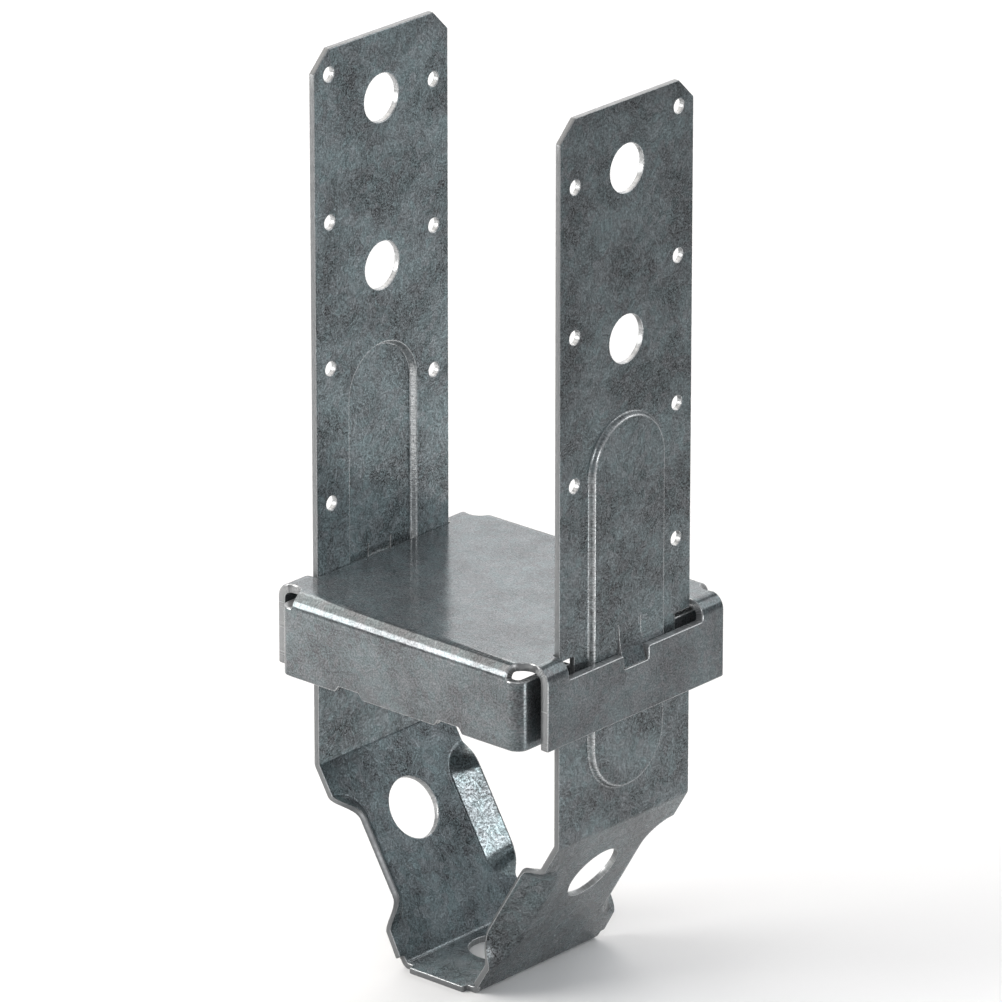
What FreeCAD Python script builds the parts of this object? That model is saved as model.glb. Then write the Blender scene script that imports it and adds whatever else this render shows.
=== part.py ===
import FreeCAD
import Part
import math
import os

# Timber post base: a folded standoff base with a bent strap through it.
# X runs from the left leg to the right leg, Y along the strap's width, Z up.
# The origin is under the middle of the strap's flat bottom. Millimetres.

# Sheets
strap_sheet = 1.9
base_sheet = 2.66

# Strap: legs
post_width = 90.5
strap_width = 57.0
leg_rise = 158.75
leg_corner_cut = 6.35
seat_height = 115.0

# Strap: bolt holes and nail holes, measured down from the top of the leg
bolt_hole = 14.5
bolt_from_top = 20.25
bolt_pitch = 50.8
nail_hole = 4.4
nail_gauge = 44.4
nail_pitch = 44.45
nail_last_pitch = 41.3
nail_four_from_top = 7.65
nail_three_from_top = 20.25

# Strap: lower part
leg_drop = 59.0
bottom_width = 26.0
strap_bend_radius = 1.2
anchor_hole = 18.7
anchor_hole_along = 22.3
edge_fold_start = 9.8
edge_fold_foot = 10.2
edge_fold_inset = 9.5
edge_fold_angle = 45.0
edge_pull_at_fold = 0.8
edge_pull_at_bottom = 0.2
runout_sections = 6
runout_lip = 0.25
runout_bend = 0.1
bend_relief_depth = 2.0
bend_relief_on_bottom = 2.6
bend_relief_on_slope = 2.2

# Strap: raised panel and locking tab
panel_height = 1.7
panel_width = 32.4
panel_wall = 1.1
panel_above = 65.8
panel_above_bend = 10.3
panel_round = 0.3
panel_thinning = 0.8
tab_width = 9.3
tab_root_above = 2.6
tab_lean = 2.4
tab_slit = 0.25

# Standoff base
base_length = 88.9
standoff = 25.4
base_bend_radius = 2.0
end_flange_width = 77.0
wrap_bend_radius = 1.4
wrap_top_drop = 4.3
wrap_setback = 2.85
wrap_gap = 0.3
corner_relief = 4.4
corner_relief_aside = 3.3
corner_relief_inset = 2.2
slot_extra = 0.7
slot_clearance = 0.1
slot_drop = 5.9
lock_notch_width = 10.7
lock_notch_depth = 4.2
lock_clearance = 0.1
panel_clearance = 0.1
drain_notch_width = 10.6
drain_notch_depth = 1.9
drain_notch_centre = 19.1
drain_notch_slant = 1.5
strap_notch_depth = 6.5
strap_notch_top = 2.1
strap_notch_margin = 1.1

# How far a cutter reaches past the metal
past = 1.0

# Values that follow from the sizes above
half_post = post_width / 2.0
half_strap = strap_width / 2.0
leg_outer = half_post + strap_sheet
leg_top = seat_height + leg_rise
bend_height = seat_height - leg_drop
slope_rise = bend_height - strap_sheet
slope_run = half_post - bottom_width / 2.0
slope_length = math.hypot(slope_rise, slope_run)
edge_fold_stop = slope_length - edge_fold_foot
slope_angle = math.degrees(math.atan2(slope_run, slope_rise))
end_inner = leg_outer + panel_height + panel_clearance
end_outer = end_inner + base_sheet
half_base = base_length / 2.0
base_outer_radius = base_bend_radius + base_sheet
wrap_outer_radius = wrap_bend_radius + base_sheet
wrap_outer = end_inner - wrap_setback
front_bend_end = wrap_outer - wrap_outer_radius
base_bottom = seat_height - standoff
slot_half = half_strap + slot_extra
lock_floor = seat_height - slot_drop - lock_notch_depth


def box(x0, x1, y0, y1, z0, z1):
    corner = FreeCAD.Vector(x0, y0, z0)
    return Part.makeBox(x1 - x0, y1 - y0, z1 - z0, corner)


def mirrored_x(shape):
    return shape.mirror(FreeCAD.Vector(0, 0, 0), FreeCAD.Vector(1, 0, 0))


def mirrored_y(shape):
    return shape.mirror(FreeCAD.Vector(0, 0, 0), FreeCAD.Vector(0, 1, 0))


def turned_half(shape):
    copy = shape.copy()
    copy.rotate(FreeCAD.Vector(0, 0, 0), FreeCAD.Vector(0, 0, 1), 180)
    return copy


def placed_by(shape, along, across, inward, start):
    """Move a shape so its X, Y, Z follow the three given directions."""
    turn = FreeCAD.Rotation(along, across, inward, "XYZ")
    copy = shape.copy()
    copy.Placement = FreeCAD.Placement(start, turn).multiply(copy.Placement)
    return copy


def joined(shapes):
    whole = shapes[0].fuse(shapes[1:])
    return whole.removeSplitter()


def rounded_path(corners, radius_of):
    """Edges along a polyline in the XZ plane with an arc at each inside corner."""
    edges = []
    here = corners[0]
    for index in range(1, len(corners) - 1):
        corner = corners[index]
        before = (corners[index - 1] - corner).normalize()
        after = (corners[index + 1] - corner).normalize()
        opening = before.getAngle(after)
        radius = radius_of[index - 1]
        reach = radius / math.tan(opening / 2.0)
        start = corner + before * reach
        stop = corner + after * reach
        middle_way = (before + after).normalize()
        middle = corner + middle_way * (radius / math.sin(opening / 2.0) - radius)
        edges.append(Part.LineSegment(here, start).toShape())
        edges.append(Part.Arc(start, middle, stop).toShape())
        here = stop
    edges.append(Part.LineSegment(here, corners[-1]).toShape())
    return edges


def strap_strip():
    """The strap as one plain bent strip, full width all the way round."""
    outer_foot = strap_sheet * math.tan(math.radians(slope_angle) / 2.0)
    outer_turn = strap_sheet * math.tan(math.radians(90.0 - slope_angle) / 2.0)
    half_bottom = bottom_width / 2.0
    inner = [
        FreeCAD.Vector(-half_post, 0, leg_top),
        FreeCAD.Vector(-half_post, 0, bend_height),
        FreeCAD.Vector(-half_bottom, 0, strap_sheet),
        FreeCAD.Vector(half_bottom, 0, strap_sheet),
        FreeCAD.Vector(half_post, 0, bend_height),
        FreeCAD.Vector(half_post, 0, leg_top),
    ]
    outer = [
        FreeCAD.Vector(-leg_outer, 0, leg_top),
        FreeCAD.Vector(-leg_outer, 0, bend_height - outer_foot),
        FreeCAD.Vector(-half_bottom - outer_turn, 0, 0),
        FreeCAD.Vector(half_bottom + outer_turn, 0, 0),
        FreeCAD.Vector(leg_outer, 0, bend_height - outer_foot),
        FreeCAD.Vector(leg_outer, 0, leg_top),
    ]
    inside = strap_bend_radius
    outside = strap_bend_radius + strap_sheet
    edges = rounded_path(inner, [inside] * 4)
    edges.append(Part.LineSegment(inner[-1], outer[-1]).toShape())
    edges.extend(rounded_path(outer, [outside] * 4))
    edges.append(Part.LineSegment(outer[0], inner[0]).toShape())
    wire = Part.Wire(Part.__sortEdges__(edges))
    strip = Part.Face(wire).extrude(FreeCAD.Vector(0, strap_width, 0))
    strip.translate(FreeCAD.Vector(0, -half_strap, 0))
    return strip


def slope_placement():
    """Frame of the left slope: along it, across it, and out of its inner face."""
    angle = math.radians(slope_angle)
    along = FreeCAD.Vector(math.sin(angle), 0, -math.cos(angle))
    across = FreeCAD.Vector(0, 1, 0)
    inward = FreeCAD.Vector(math.cos(angle), 0, math.sin(angle))
    origin = FreeCAD.Vector(-half_post, 0, bend_height)
    return origin, along, across, inward


def fold_section(position, amount, edge):
    """One closed section of the slope, flat at amount 0 and fully folded at 1.

    The side edge of the blank lies at the distance edge from the middle.
    """
    origin, along, across, inward = slope_placement()
    angle = math.radians(edge_fold_angle) * math.sin(math.pi / 2.0 * amount)
    swing = math.sqrt(max(0.0, 1.0 - (1.0 - amount) ** 2))
    middle_radius = strap_bend_radius + strap_sheet / 2.0
    if amount <= 0.0:
        bend_stop = edge - runout_lip
        bend_start = bend_stop - runout_bend
        reach = runout_lip
    else:
        fold_at = edge - edge_fold_inset * swing
        bend_start = fold_at - middle_radius * angle / 2.0
        bend_stop = bend_start + middle_radius * angle
        reach = edge - bend_stop

    def place(y, n):
        return origin + along * position + across * y + inward * n

    def side(offset):
        """Points on the far half at a set distance from the middle of the sheet."""
        base_n = -strap_sheet / 2.0
        if amount <= 0.0:
            flat = (bend_start, base_n + offset)
            halfway = None
            turn = (bend_stop, base_n + offset)
            tip = (edge, base_n + offset)
            return flat, halfway, turn, tip
        radius = middle_radius - offset
        centre_n = base_n + middle_radius
        flat = (bend_start, base_n + offset)
        half_turn = angle / 2.0
        halfway = (bend_start + radius * math.sin(half_turn),
                   centre_n - radius * math.cos(half_turn))
        turn = (bend_start + radius * math.sin(angle),
                centre_n - radius * math.cos(angle))
        tip = (turn[0] + reach * math.cos(angle),
               turn[1] + reach * math.sin(angle))
        return flat, halfway, turn, tip

    def edges_between(offset):
        flat, halfway, turn, tip = side(offset)
        line = []
        for sign in (1, -1):
            points = (flat, halfway, turn, tip)
            placed = [None if p is None else place(sign * p[0], p[1]) for p in points]
            outer_line = Part.LineSegment(placed[3], placed[2]).toShape()
            if placed[1] is None:
                bend = Part.LineSegment(placed[2], placed[0]).toShape()
            else:
                bend = Part.Arc(placed[2], placed[1], placed[0]).toShape()
            line.append((outer_line, bend, placed[0], placed[3]))
        middle = Part.LineSegment(line[0][2], line[1][2]).toShape()
        run = [line[0][0], line[0][1], middle, line[1][1], line[1][0]]
        return run, line[0][3], line[1][3]

    inner_run, inner_far, inner_near = edges_between(strap_sheet / 2.0)
    outer_run, outer_far, outer_near = edges_between(-strap_sheet / 2.0)
    near_end = Part.LineSegment(inner_near, outer_near).toShape()
    far_end = Part.LineSegment(outer_far, inner_far).toShape()
    edges = inner_run + [near_end] + list(reversed(outer_run)) + [far_end]
    return Part.Wire(edges)


def folded_slope():
    """The left slope between the two bends, its side edges folded inward."""
    along = slope_placement()[1]
    run_out = edge_fold_inset
    first = []
    last = []
    for count in range(runout_sections + 1):
        step = 1.0 - math.cos(math.pi / 2.0 * count / runout_sections)
        pulled = half_strap - edge_pull_at_fold * (1.0 - step)
        first_at = edge_fold_start + run_out * step
        last_at = edge_fold_stop - run_out * step
        first.append(fold_section(first_at, step, half_strap))
        last.append(fold_section(last_at, step, pulled))
    start_part = Part.makeLoft(first, True, False)
    stop_part = Part.makeLoft(last, True, False)
    straight = edge_fold_stop - edge_fold_start - 2.0 * run_out
    middle_face = Part.Face(fold_section(edge_fold_start + run_out, 1.0, half_strap))
    middle_part = middle_face.extrude(along * straight)
    return [start_part, middle_part, stop_part]


def stadium(x, half_width, top, bottom):
    """A long round-ended outline standing in the plane of a leg."""
    centre_top = top - half_width
    centre_bottom = bottom + half_width
    corners = [
        FreeCAD.Vector(x, half_width, centre_bottom),
        FreeCAD.Vector(x, half_width, centre_top),
        FreeCAD.Vector(x, 0, top),
        FreeCAD.Vector(x, -half_width, centre_top),
        FreeCAD.Vector(x, -half_width, centre_bottom),
        FreeCAD.Vector(x, 0, bottom),
    ]
    right = Part.LineSegment(corners[0], corners[1]).toShape()
    crown = Part.Arc(corners[1], corners[2], corners[3]).toShape()
    left = Part.LineSegment(corners[3], corners[4]).toShape()
    toe = Part.Arc(corners[4], corners[5], corners[0]).toShape()
    return Part.Wire([right, crown, left, toe])


def tapered_panel(x_base, x_top, half_base_width, top, bottom, wall):
    """Round-ended pad with a leaning wall and an eased rim."""
    slant = wall - panel_round
    x_rim = x_top - panel_round
    low = stadium(x_base, half_base_width, top, bottom)
    rim = stadium(x_rim, half_base_width - slant, top - slant, bottom + slant)
    high = stadium(x_top, half_base_width - wall, top - wall, bottom + wall)
    return Part.makeLoft([low, rim, high], True, True)


def right_leg_panel():
    """Solid pushed out of the right leg, and the hollow left behind it."""
    top = seat_height + panel_above
    bottom = bend_height + panel_above_bend
    half_width = panel_width / 2.0
    thin = strap_sheet * panel_thinning
    crest = leg_outer + panel_height
    raised = tapered_panel(leg_outer, crest, half_width, top, bottom, panel_wall)
    floor = half_post + panel_height
    hollow = tapered_panel(half_post, floor, half_width - thin, top - thin,
                           bottom + thin, panel_wall)
    return raised, hollow


def right_lock_tab():
    """Locking tab lanced from the raised panel, and the window it leaves."""
    root_z = seat_height + tab_root_above
    tip_z = lock_floor + lock_clearance
    inner = half_post + panel_height
    crest = leg_outer + panel_height
    profile = [
        FreeCAD.Vector(inner, 0, root_z),
        FreeCAD.Vector(crest, 0, root_z),
        FreeCAD.Vector(crest + tab_lean, 0, tip_z),
        FreeCAD.Vector(inner + tab_lean, 0, tip_z),
    ]
    face = Part.Face(Part.makePolygon(profile + [profile[0]]))
    tab = face.extrude(FreeCAD.Vector(0, tab_width, 0))
    tab.translate(FreeCAD.Vector(0, -tab_width / 2.0, 0))
    half_window = tab_width / 2.0 + tab_slit
    window = box(half_post - past, crest + past, -half_window, half_window,
                 tip_z - tab_slit, root_z)
    return tab, window


def leg_holes(side):
    """Cutters for the bolt and nail holes of one leg; side is +1 or -1."""
    cutters = []
    start_x = half_post - past if side > 0 else -leg_outer - past
    across = FreeCAD.Vector(1, 0, 0)
    length = strap_sheet + 2.0 * past

    def hole(y, from_top, diameter):
        start = FreeCAD.Vector(start_x, y, leg_top - from_top)
        cutters.append(Part.makeCylinder(diameter / 2.0, length, start, across))

    four_y = side * nail_gauge / 2.0
    for index in range(2):
        hole(0.0, bolt_from_top + bolt_pitch * index, bolt_hole)
    for index in range(3):
        hole(four_y, nail_four_from_top + nail_pitch * index, nail_hole)
        hole(-four_y, nail_three_from_top + nail_pitch * index, nail_hole)
    last = nail_four_from_top + 2.0 * nail_pitch + nail_last_pitch
    hole(four_y, last, nail_hole)
    return cutters


def top_corner_cuts():
    """Wedges that take the top corners off both legs."""
    x = -leg_outer - past
    beyond = half_strap + past
    above = leg_top + past
    reach = leg_corner_cut + 2.0 * past
    corners = [
        FreeCAD.Vector(x, beyond, above - reach),
        FreeCAD.Vector(x, beyond, above),
        FreeCAD.Vector(x, beyond - reach, above),
    ]
    face = Part.Face(Part.makePolygon(corners + [corners[0]]))
    wedge = face.extrude(FreeCAD.Vector(2.0 * leg_outer + 2.0 * past, 0, 0))
    return [wedge, mirrored_y(wedge)]


def bottom_relief_cuts():
    """Small side recesses at the two bottom bends, square to the sheet."""
    along = slope_placement()[1]
    inward = slope_placement()[3]
    beyond = -half_strap - past
    corner = FreeCAD.Vector(-bottom_width / 2.0, beyond, strap_sheet)
    on_slope = corner - along * bend_relief_on_slope
    on_bottom = corner + FreeCAD.Vector(bend_relief_on_bottom, 0, 0)
    down = FreeCAD.Vector(0, 0, -strap_sheet - past)
    outward = inward * (-strap_sheet - past)
    points = [
        on_bottom - down,
        on_bottom + down,
        corner + down + outward,
        on_slope + outward,
        on_slope - outward,
    ]
    face = Part.Face(Part.makePolygon(points + [points[0]]))
    cutter = face.extrude(FreeCAD.Vector(0, bend_relief_depth + past, 0))
    cuts = [cutter, mirrored_x(cutter)]
    return cuts + [mirrored_y(cut) for cut in cuts]


def slope_edge_cuts():
    """Thin wedges off the side edges, between the folded edge and the bottom."""
    origin, along, across, inward = slope_placement()
    depth = strap_sheet + past

    def point(position, y):
        return origin + along * position + across * y - inward * depth

    beyond = half_strap + past
    points = [
        point(edge_fold_stop, half_strap - edge_pull_at_fold),
        point(slope_length, half_strap - edge_pull_at_bottom),
        point(slope_length, beyond),
        point(edge_fold_stop, beyond),
    ]
    face = Part.Face(Part.makePolygon(points + [points[0]]))
    cutter = face.extrude(inward * (depth + past))
    cuts = [cutter, mirrored_x(cutter)]
    return cuts + [mirrored_y(cut) for cut in cuts]


def slope_slab():
    """Block over the left slope between the ends of its folded edges."""
    origin, along, across, inward = slope_placement()
    start = origin + along * edge_fold_start
    deep = strap_sheet + past
    slab = Part.makeBox(edge_fold_stop - edge_fold_start,
                        strap_width + 2.0 * past, deep + past)
    slab.translate(FreeCAD.Vector(0, -half_strap - past, -deep))
    return placed_by(slab, along, across, inward, start)


def side_notches():
    """Notches in the edges of the legs that let the return tabs in."""
    low = base_bottom - strap_notch_margin
    high = seat_height - strap_notch_top
    wall = half_strap - strap_notch_depth
    notch = box(half_post - past, leg_outer + past, wall, half_strap + past, low, high)
    notches = [notch, mirrored_x(notch)]
    return notches + [mirrored_y(item) for item in notches]


def anchor_holes():
    """Cutters for the large hole in each slope and the one in the bottom."""
    origin, along, across, inward = slope_placement()
    radius = anchor_hole / 2.0
    reach = strap_sheet + past
    start = origin + along * anchor_hole_along - inward * reach
    slope = Part.makeCylinder(radius, reach + past, start, inward)
    bottom_start = FreeCAD.Vector(0, 0, -past)
    bottom = Part.makeCylinder(radius, strap_sheet + 2.0 * past, bottom_start)
    return [slope, mirrored_x(slope), bottom]


def make_strap():
    slab = slope_slab()
    strip = strap_strip().cut([slab, mirrored_x(slab)])
    slopes = folded_slope()
    slopes = slopes + [mirrored_x(part) for part in slopes]
    strap = joined([strip] + slopes)

    raised, hollow = right_leg_panel()
    tab, window = right_lock_tab()
    strap = strap.fuse([raised, turned_half(raised)])
    cutters = [hollow, turned_half(hollow), window, turned_half(window)]
    cutters = cutters + side_notches() + leg_holes(1) + leg_holes(-1)
    cutters = cutters + top_corner_cuts() + bottom_relief_cuts() + slope_edge_cuts()
    strap = strap.cut(cutters + anchor_holes())
    return joined([strap, tab, turned_half(tab)])


def bend_prism(direction, inner_face, low, high):
    """Plate bend plus flange below it, as one folded profile for +X or +Y."""
    centre = inner_face - base_bend_radius
    top = seat_height
    radius_out = base_outer_radius
    radius_in = base_bend_radius
    outer_face = inner_face + base_sheet
    lean = math.sin(math.radians(45.0))

    def point(u, z):
        if direction == "x":
            return FreeCAD.Vector(u, low, z)
        return FreeCAD.Vector(low, u, z)

    bend_z = top - radius_out
    outside = Part.Arc(point(centre, top),
                       point(centre + radius_out * lean, bend_z + radius_out * lean),
                       point(outer_face, bend_z)).toShape()
    outer_line = Part.LineSegment(point(outer_face, bend_z),
                                  point(outer_face, base_bottom)).toShape()
    foot = Part.LineSegment(point(outer_face, base_bottom),
                            point(inner_face, base_bottom)).toShape()
    inner_line = Part.LineSegment(point(inner_face, base_bottom),
                                  point(inner_face, bend_z)).toShape()
    inside = Part.Arc(point(inner_face, bend_z),
                      point(centre + radius_in * lean, bend_z + radius_in * lean),
                      point(centre, bend_z + radius_in)).toShape()
    close = Part.LineSegment(point(centre, bend_z + radius_in),
                             point(centre, top)).toShape()
    face = Part.Face(Part.Wire([outside, outer_line, foot, inner_line, inside, close]))
    if direction == "x":
        return face.extrude(FreeCAD.Vector(0, high - low, 0))
    return face.extrude(FreeCAD.Vector(high - low, 0, 0))


def wrap_corner():
    """Front flange end wrapped round the corner, with its return tab."""
    front = -half_base
    top = seat_height - wrap_top_drop
    centre = FreeCAD.Vector(front_bend_end, front + wrap_outer_radius, 0)
    lean = math.sin(math.radians(45.0))
    radius_out = wrap_outer_radius
    radius_in = wrap_bend_radius
    inner_x = wrap_outer - base_sheet
    tab_end = -(half_strap - strap_notch_depth + wrap_gap)
    z = base_bottom

    def point(x, y):
        return FreeCAD.Vector(x, y, z)

    outside = Part.Arc(point(front_bend_end, front),
                       point(centre.x + radius_out * lean, centre.y - radius_out * lean),
                       point(wrap_outer, centre.y)).toShape()
    outer_line = Part.LineSegment(point(wrap_outer, centre.y),
                                  point(wrap_outer, tab_end)).toShape()
    end = Part.LineSegment(point(wrap_outer, tab_end), point(inner_x, tab_end)).toShape()
    inner_line = Part.LineSegment(point(inner_x, tab_end),
                                  point(inner_x, centre.y)).toShape()
    inside = Part.Arc(point(inner_x, centre.y),
                      point(centre.x + radius_in * lean, centre.y - radius_in * lean),
                      point(front_bend_end, front + base_sheet)).toShape()
    close = Part.LineSegment(point(front_bend_end, front + base_sheet),
                             point(front_bend_end, front)).toShape()
    face = Part.Face(Part.Wire([outside, outer_line, end, inner_line, inside, close]))
    return face.extrude(FreeCAD.Vector(0, 0, top - base_bottom))


def drain_notch(centre_x):
    """Cutter for one shallow notch in the lower edge of the front flange."""
    half_low = drain_notch_width / 2.0
    half_high = half_low - drain_notch_slant
    y = -half_base - past
    low = base_bottom - past
    high = base_bottom + drain_notch_depth
    points = [
        FreeCAD.Vector(centre_x - half_low, y, low),
        FreeCAD.Vector(centre_x - half_low, y, base_bottom),
        FreeCAD.Vector(centre_x - half_high, y, high),
        FreeCAD.Vector(centre_x + half_high, y, high),
        FreeCAD.Vector(centre_x + half_low, y, base_bottom),
        FreeCAD.Vector(centre_x + half_low, y, low),
    ]
    face = Part.Face(Part.makePolygon(points + [points[0]]))
    return face.extrude(FreeCAD.Vector(0, base_sheet + 2.0 * past, 0))


def make_base():
    flat_x = end_inner - base_bend_radius
    flat_y = half_base - base_outer_radius
    plate = box(-flat_x, flat_x, -flat_y, flat_y, seat_height - base_sheet, seat_height)
    half_end = end_flange_width / 2.0
    end_fold = bend_prism("x", end_inner, -half_end, half_end)
    front_fold = bend_prism("y", half_base - base_sheet, -front_bend_end, front_bend_end)
    folds = [end_fold, mirrored_x(end_fold), front_fold, mirrored_y(front_fold)]
    body = joined([plate] + folds)

    relief_start = FreeCAD.Vector(front_bend_end + corner_relief_aside,
                                  -half_base + corner_relief_inset,
                                  seat_height - wrap_top_drop)
    relief = Part.makeCylinder(corner_relief, wrap_top_drop + past, relief_start)
    reliefs = [relief, mirrored_x(relief)]
    reliefs = reliefs + [mirrored_y(item) for item in reliefs]

    slot = box(half_post - slot_clearance, end_outer + past, -slot_half, slot_half,
               seat_height - slot_drop, seat_height + past)
    half_lock = lock_notch_width / 2.0
    lock = box(end_inner - past, end_outer + past, -half_lock, half_lock,
               lock_floor, seat_height - slot_drop + past)
    drains = [drain_notch(-drain_notch_centre), drain_notch(drain_notch_centre)]
    drains = drains + [mirrored_y(item) for item in drains]
    cutters = reliefs + [slot, mirrored_x(slot), lock, mirrored_x(lock)] + drains
    body = body.cut(cutters)

    wrap = wrap_corner()
    wraps = [wrap, mirrored_x(wrap)]
    wraps = wraps + [mirrored_y(item) for item in wraps]
    return joined([body] + wraps)


os.makedirs("parts", exist_ok=True)
pieces = {
    "standoff_base": make_base(),
    "strap": make_strap(),
}
for name, shape in pieces.items():
    solid = shape.Solids[0]
    print(name, "solids", len(shape.Solids), "valid", shape.isValid(),
          "volume", round(shape.Volume, 1), shape.BoundBox)
    solid.exportStep("parts/" + name + ".step")
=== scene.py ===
import math

import bmesh
import bpy
import numpy as np
from mathutils import Matrix, Vector, geometry


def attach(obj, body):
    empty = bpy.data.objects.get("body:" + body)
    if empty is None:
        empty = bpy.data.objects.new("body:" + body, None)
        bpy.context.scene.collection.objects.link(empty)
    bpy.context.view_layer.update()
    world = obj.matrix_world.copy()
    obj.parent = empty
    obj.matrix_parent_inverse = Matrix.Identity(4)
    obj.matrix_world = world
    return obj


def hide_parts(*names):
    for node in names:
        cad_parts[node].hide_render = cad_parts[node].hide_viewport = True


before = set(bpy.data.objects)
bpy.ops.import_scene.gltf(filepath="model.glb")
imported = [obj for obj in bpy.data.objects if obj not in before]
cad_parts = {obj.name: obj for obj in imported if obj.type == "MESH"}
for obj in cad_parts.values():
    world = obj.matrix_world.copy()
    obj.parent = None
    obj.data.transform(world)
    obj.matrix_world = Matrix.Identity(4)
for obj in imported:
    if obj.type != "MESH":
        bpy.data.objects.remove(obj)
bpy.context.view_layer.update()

# Standoff base. The plate that carries the timber post clear of the slab, one blank of hot-dip
# galvanised sheet. It is punched flat, then its four flanges are folded down, and the front and
# back ones are wrapped round the corners. The strap's legs pass through its two slots.
mm = 0.001
quarter_turn = math.pi / 2.0

# Plate, its flanges and their bends
plate_sheet = 2.66 * mm
seat_height = 115.0 * mm
base_length = 88.9 * mm
standoff = 25.4 * mm
plate_bend_inside = 2.0 * mm
end_inner = 48.95 * mm
end_flange_half = 38.5 * mm

# Front and back flanges, wrapped round the corners into return tabs
wrap_bend_inside = 1.4 * mm
wrap_outer = 46.1 * mm
wrap_top = 110.7 * mm
return_tab_end = 22.3 * mm

# Round relief at each corner, between the two kinds of flange
relief_radius = 4.4 * mm
relief_aside = 3.3 * mm
relief_inset = 2.2 * mm

# Slot for each leg, with the deeper notch for the strap's locking tab
slot_start = 45.15 * mm
slot_half = 29.2 * mm
slot_floor = 109.1 * mm
lock_half = 5.35 * mm
lock_floor = 104.9 * mm

# Shallow notches in the lower edges of the front and back flanges
drain_centre = 19.1 * mm
drain_half = 5.3 * mm
drain_slant = 1.5 * mm
drain_depth = 1.9 * mm

# Corners and edges as the punch leaves them
base_corner_radius = 0.6 * mm
base_roll = 0.38 * mm
base_burr = 0.18 * mm

# How finely a blank is stepped
rim_width = 0.45 * mm
rim_steps = 3
rim_clearance = 0.22 * mm
station_gap = 0.12 * mm
longest_edge = 4.0 * mm
arc_step = math.radians(9.0)
arc_margin = 0.5 * mm
relief_steps = 24
row_step = 2.0 * mm
front_row_step = 2.5 * mm

# Bend lines and edges, measured from the middle of the flat blank
half_sheet = plate_sheet / 2.0
plate_radius = plate_bend_inside + half_sheet
wrap_radius = wrap_bend_inside + half_sheet
plate_arc = plate_radius * quarter_turn
wrap_arc = wrap_radius * quarter_turn
flange_top = seat_height - half_sheet - plate_radius
base_bottom = seat_height - standoff
end_line = end_inner - plate_bend_inside
front_line = base_length / 2.0 - plate_sheet - plate_bend_inside
wrap_line = wrap_outer - plate_sheet - wrap_bend_inside
front_edge = front_line + plate_arc + flange_top - base_bottom
end_edge = end_line + plate_arc + flange_top - base_bottom
wrap_centre_y = base_length / 2.0 - plate_sheet - wrap_bend_inside
ear_edge = wrap_line + wrap_arc + wrap_centre_y - return_tab_end


def on_end_flange(height):
    """Distance from the middle of the blank to a height on an end flange."""
    return end_line + plate_arc + flange_top - height


def on_front_bend(y):
    """Distance from the middle of the blank to a depth seen from above, on a front bend."""
    if y <= front_line:
        return y
    return front_line + plate_radius * math.asin(min(1.0, (y - front_line) / plate_radius))


def corner_relief():
    """The round relief at one corner, from the end flange's side to the ear's top edge."""
    centre_x = wrap_line + relief_aside
    centre_y = base_length / 2.0 - relief_inset
    start = math.acos((centre_y - end_flange_half) / relief_radius)
    ear_turn = math.acos((wrap_top - flange_top) / plate_radius)
    ear_y = front_line + plate_radius * math.sin(ear_turn)
    stop = -quarter_turn - math.asin((ear_y - centre_y) / relief_radius)
    points = []
    for step in range(relief_steps + 1):
        turn = start + (stop - start) * step / relief_steps
        x = centre_x + relief_radius * math.sin(turn)
        y = centre_y - relief_radius * math.cos(turn)
        if x > end_line:
            x = end_line + plate_radius * math.asin((x - end_line) / plate_radius)
        points.append((x, on_front_bend(y)))
    return points


def base_quarter():
    """The blank's outline over one corner, from the end flange round to the front flange."""
    low = front_edge - drain_depth
    relief = corner_relief()
    ear_top = relief[-1][1]
    return [(end_edge, end_flange_half)] + relief + [
        (ear_edge, ear_top),
        (ear_edge, front_edge),
        (drain_centre + drain_half, front_edge),
        (drain_centre + drain_half - drain_slant, low),
        (drain_centre - drain_half + drain_slant, low),
        (drain_centre - drain_half, front_edge),
    ]


def eased(corners, radius):
    """A closed outline with a small arc at every corner that isn't nearly straight."""
    steps = 3
    nearly_straight = math.radians(12.0)
    share_of_edge = 0.45
    points = []
    count = len(corners)
    for index, corner in enumerate(corners):
        here = Vector(corner)
        back = Vector(corners[index - 1]) - here
        on = Vector(corners[(index + 1) % count]) - here
        room = share_of_edge * min(back.length, on.length)
        back.normalize()
        on.normalize()
        opening = back.angle(on)
        if math.pi - opening < nearly_straight:
            points.append(here)
            continue
        reach = min(radius / math.tan(opening / 2.0), room)
        small = reach * math.tan(opening / 2.0)
        centre = here + (back + on).normalized() * (small / math.sin(opening / 2.0))
        start = here + back * reach - centre
        stop = here + on * reach - centre
        side = 1.0 if start.cross(stop) > 0.0 else -1.0
        for step in range(steps + 1):
            turn = side * (math.pi - opening) * step / steps
            points.append(centre + Matrix.Rotation(turn, 2) @ start)
    return points


def with_stations(points, stations, axis):
    """The outline with a point wherever it crosses one of the given coordinates."""
    made = []
    count = len(points)
    for index in range(count):
        here = Vector(points[index])
        on = Vector(points[(index + 1) % count])
        made.append(here)
        low, high = sorted((here[axis], on[axis]))
        crossed = [s for s in stations if low + station_gap < s < high - station_gap]
        crossed.sort(reverse=here[axis] > on[axis])
        for station in crossed:
            share = (station - here[axis]) / (on[axis] - here[axis])
            made.append(here.lerp(on, share))
    return made


def with_spacing(points, longest):
    """The outline with no edge longer than the given length."""
    made = []
    count = len(points)
    for index in range(count):
        here = Vector(points[index])
        on = Vector(points[(index + 1) % count])
        pieces = max(1, math.ceil((on - here).length / longest))
        made.extend(here.lerp(on, step / pieces) for step in range(pieces))
    return made


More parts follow.
